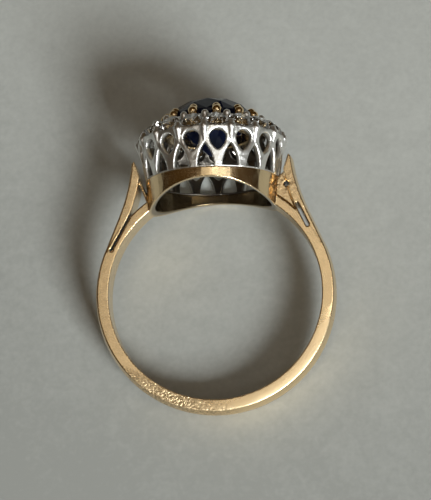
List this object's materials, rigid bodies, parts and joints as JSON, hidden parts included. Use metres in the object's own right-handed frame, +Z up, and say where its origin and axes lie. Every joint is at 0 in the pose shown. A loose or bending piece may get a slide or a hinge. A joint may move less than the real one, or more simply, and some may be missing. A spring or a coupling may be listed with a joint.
{
  "type": "cluster ring",
  "caption": "Finger ring lying on its side: gold hoop with forked shoulders, a pierced white-metal gallery carrying a circle of small round stones, and a dark round stone in gold claws.",
  "frame": {"origin": "centre of the underside of the whole ring's box, on the surface it lies on", "axes": "+Z up from the surface, +Y from the hoop's back towards the head, +X towards the soldered shoulder; the finger's axis lies in the YZ plane, tipped 12.9 degrees from +Z"},
  "size_m": [0.019, 0.025, 0.012],
  "materials": {
    "yellow_gold": "polished yellow gold with fine wear scratches",
    "white_metal": "polished white metal with a little tarnish in its corners",
    "dark_blue_stone": "polished cut stone",
    "white_stone": "polished cut stone"
  },
  "bodies": {
    "root": {"shank": "yellow_gold", "cluster_setting": "white_metal", "centre_setting": "yellow_gold", "centre_stone": "dark_blue_stone", "diamond_01": "white_stone", "diamond_02": "white_stone", "diamond_03": "white_stone", "diamond_04": "white_stone", "diamond_05": "white_stone", "diamond_06": "white_stone", "diamond_07": "white_stone", "diamond_08": "white_stone", "diamond_09": "white_stone", "diamond_10": "white_stone", "diamond_11": "white_stone", "diamond_12": "white_stone", "diamond_13": "white_stone", "diamond_14": "white_stone", "diamond_15": "white_stone", "diamond_16": "white_stone", "diamond_17": "white_stone"}
  },
  "joints": []
}
